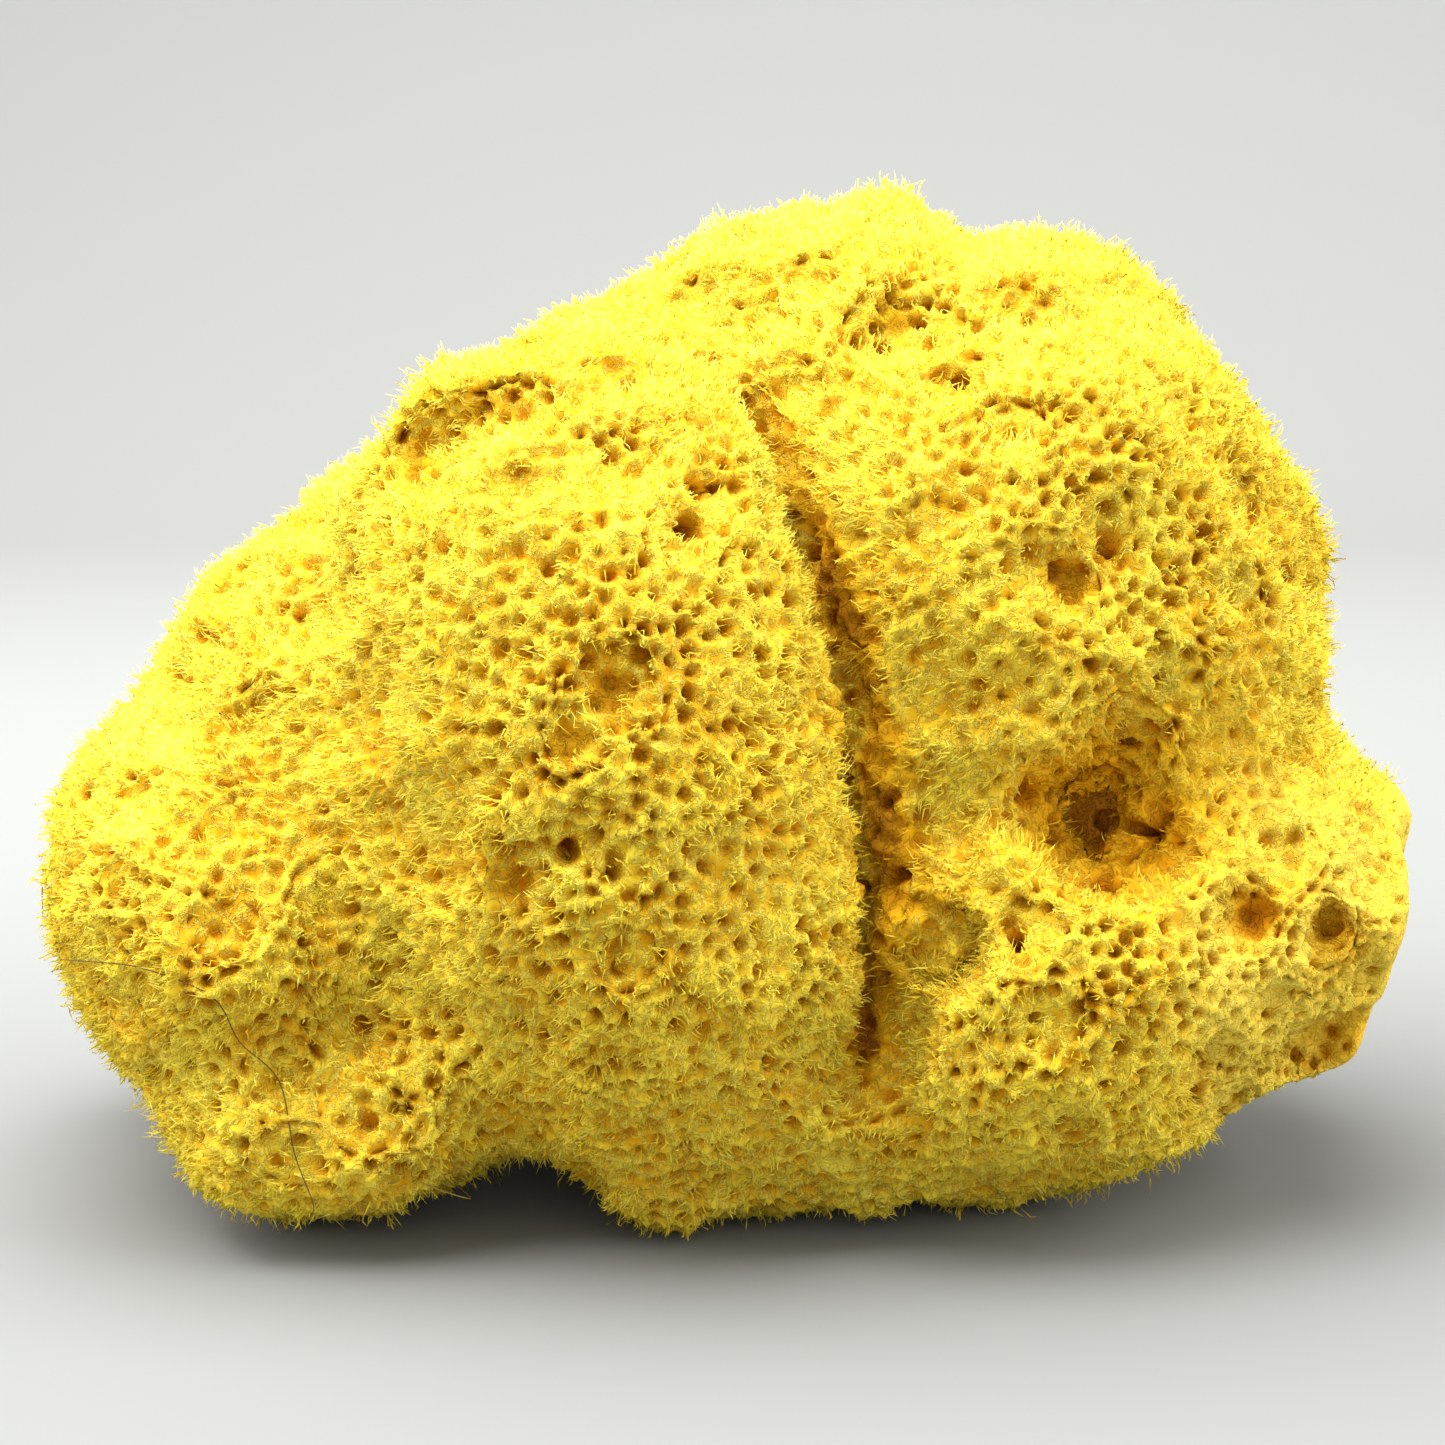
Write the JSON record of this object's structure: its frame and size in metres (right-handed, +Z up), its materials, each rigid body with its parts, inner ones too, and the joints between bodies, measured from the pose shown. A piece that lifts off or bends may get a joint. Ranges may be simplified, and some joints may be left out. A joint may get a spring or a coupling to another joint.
{
  "type": "sea sponge",
  "caption": "Bleached natural sea sponge, a rounded lump of fused lobes with a deep fold, a wide vent and a trimmed end, resting on its flat foot.",
  "frame": {"origin": "under the middle of the box, on the surface that the sponge rests on", "axes": "+X along the sponge towards its trimmed end, +Y away from the front with the deep fold, +Z up"},
  "size_m": [0.14, 0.0962, 0.1002],
  "materials": {
    "sponge": "matte"
  },
  "bodies": {
    "root": {"sponge": "sponge"}
  },
  "joints": []
}
